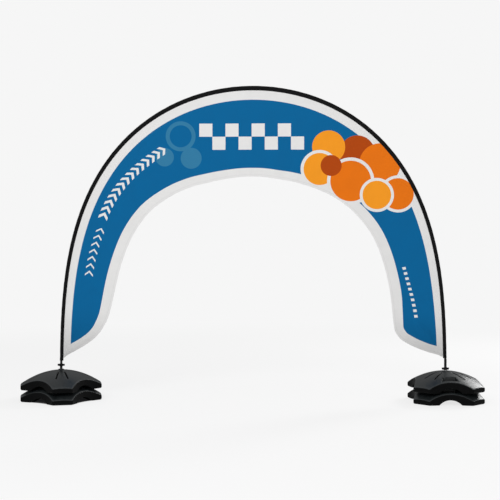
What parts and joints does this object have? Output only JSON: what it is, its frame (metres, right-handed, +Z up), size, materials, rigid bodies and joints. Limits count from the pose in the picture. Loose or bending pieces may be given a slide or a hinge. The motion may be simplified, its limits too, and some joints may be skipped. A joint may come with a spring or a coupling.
{
  "type": "finish arch banner on a bowed pole with weighted feet",
  "caption": "Printed cloth arch sewn to a black sleeve on a bowed pole, each foot on a spigot held by two nested four-lobed base weights.",
  "frame": {"origin": "on the floor, midway between the outermost lobes of the two stacks and in the plane of the pole; the arch's own middle is 30 mm towards +X", "axes": "+X across the arch to the viewer's right, +Y through the arch away from the viewer, +Z up"},
  "size_m": [4.6022, 0.8196, 3.1427],
  "materials": {
    "printed_cloth": "printed knitted polyester, matt",
    "sleeve_cloth": "black woven nylon",
    "pole_tube": "satin black tube",
    "weight_plastic": "moulded charcoal plastic, satin grain",
    "dark_steel": "black coated steel",
    "nut_plastic": "black moulded plastic",
    "zinc_steel": "zinc plated steel"
  },
  "bodies": {
    "root": {"banner": "printed_cloth", "pole_sleeve": "sleeve_cloth", "pole": "pole_tube", "left_spigot": "dark_steel", "right_spigot": "dark_steel", "right_spigot_washer": "zinc_steel", "left_wing_nut": "nut_plastic", "right_wing_nut": "nut_plastic", "left_weight_lower": "weight_plastic", "left_weight_upper": "weight_plastic", "right_weight_lower": "weight_plastic", "right_weight_upper": "weight_plastic"}
  },
  "joints": []
}
